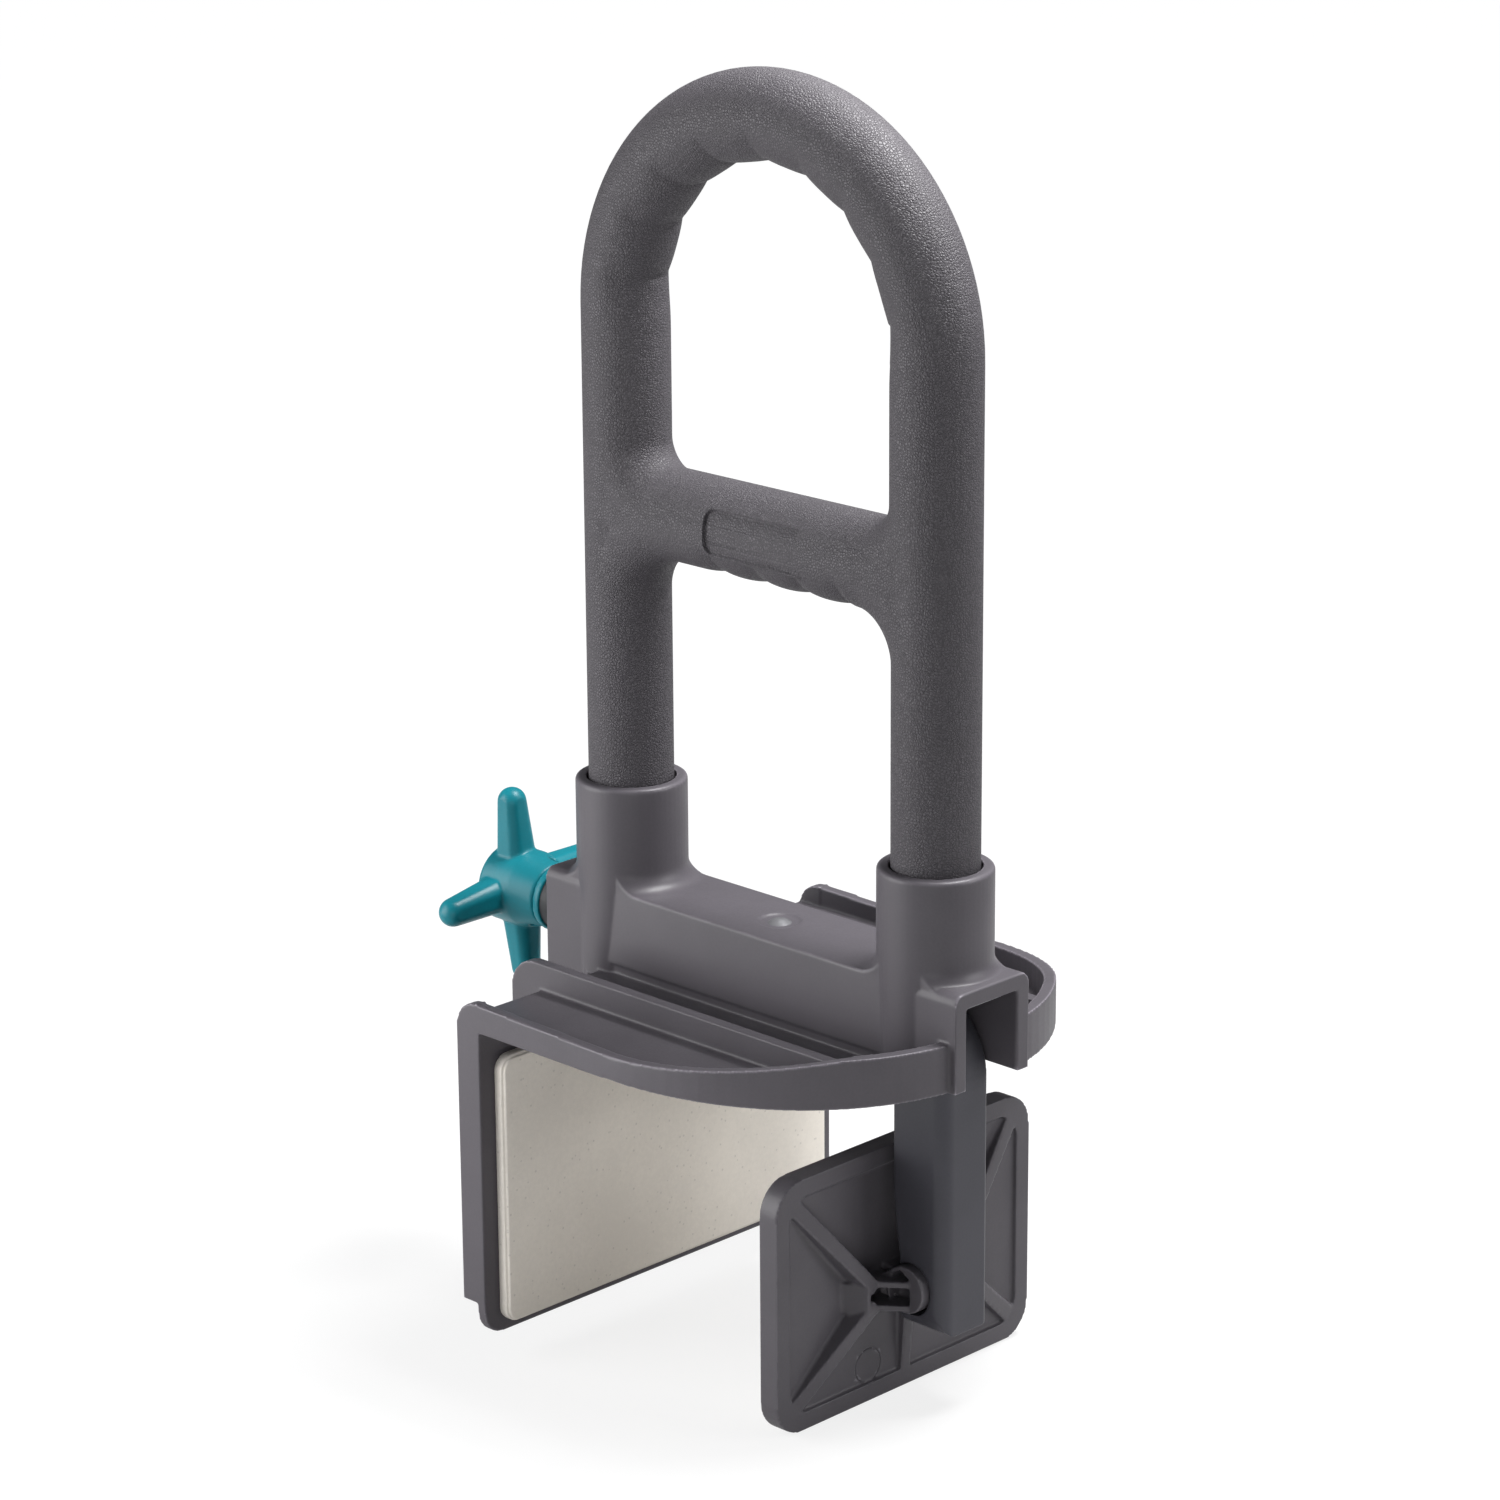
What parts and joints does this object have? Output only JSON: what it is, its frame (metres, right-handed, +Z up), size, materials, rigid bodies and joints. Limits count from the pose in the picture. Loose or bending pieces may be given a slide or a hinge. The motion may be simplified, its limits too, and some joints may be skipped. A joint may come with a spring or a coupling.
{
  "type": "bathtub grab bar",
  "caption": "Hoop-shaped hand rail on a moulded saddle that clamps over a bathtub wall between a fixed jaw and a swivel jaw, closed by a screw with a cross knob.",
  "frame": {"origin": "middle of the saddle, on the plane where it rests on the tub rim", "axes": "+Z up along the hoop, +X along the clamp screw towards the moving jaw, +Y along the tub wall"},
  "size_m": [0.2546, 0.1848, 0.4766],
  "materials": {
    "grip": "pebbled",
    "saddle_plastic": "fine satin",
    "jaw_plastic": "fine satin",
    "arm_coating": "satin powder coat",
    "knob_plastic": "satin",
    "pad_rubber": "matt",
    "dark_plastic": "matt",
    "steel": "brushed",
    "plated_steel": "bright zinc"
  },
  "bodies": {
    "saddle": {"saddle_base": "saddle_plastic", "handle_grip": "grip", "steel_core": "steel", "leg_plug_left": "dark_plastic", "leg_plug_right": "dark_plastic", "leg_screws": "plated_steel", "leg_washers": "plated_steel", "wear_strip": "steel", "strip_rivet": "plated_steel", "keeper_plate": "steel", "keeper_screws": "plated_steel", "fixed_jaw_pad": "pad_rubber", "screw_bushing": "dark_plastic", "thrust_washer": "steel"},
    "screw": {"clamp_screw": "plated_steel", "clamp_knob": "knob_plastic", "knob_pin": "steel", "retaining_ring": "steel", "spacer_collar": "dark_plastic", "end_washer": "steel"},
    "arm": {"slide_arm": "arm_coating", "square_nut": "plated_steel"},
    "jaw": {"swivel_plate": "jaw_plastic", "swivel_jaw_pad": "pad_rubber"}
  },
  "joints": [
    {"name": "knob_turn", "type": "hinge", "parent": "saddle", "child": "screw", "pos_m": [0, 0, 0.016], "axis": [1, 0, 0], "range_deg": [-6001, 3961]},
    {"name": "arm_slide", "type": "slide", "parent": "saddle", "child": "arm", "axis": [1, 0, 0], "range_m": [-0.033, 0.05]},
    {"name": "jaw_swivel", "type": "hinge", "parent": "arm", "child": "jaw", "pos_m": [0.0759, 0, -0.0837], "axis": [0, 1, 0], "range_deg": [-12, 4]}
  ],
  "couplings": [
    {"joint": "knob_turn", "follows": "arm_slide", "rad_per_m": -2094.4}
  ]
}
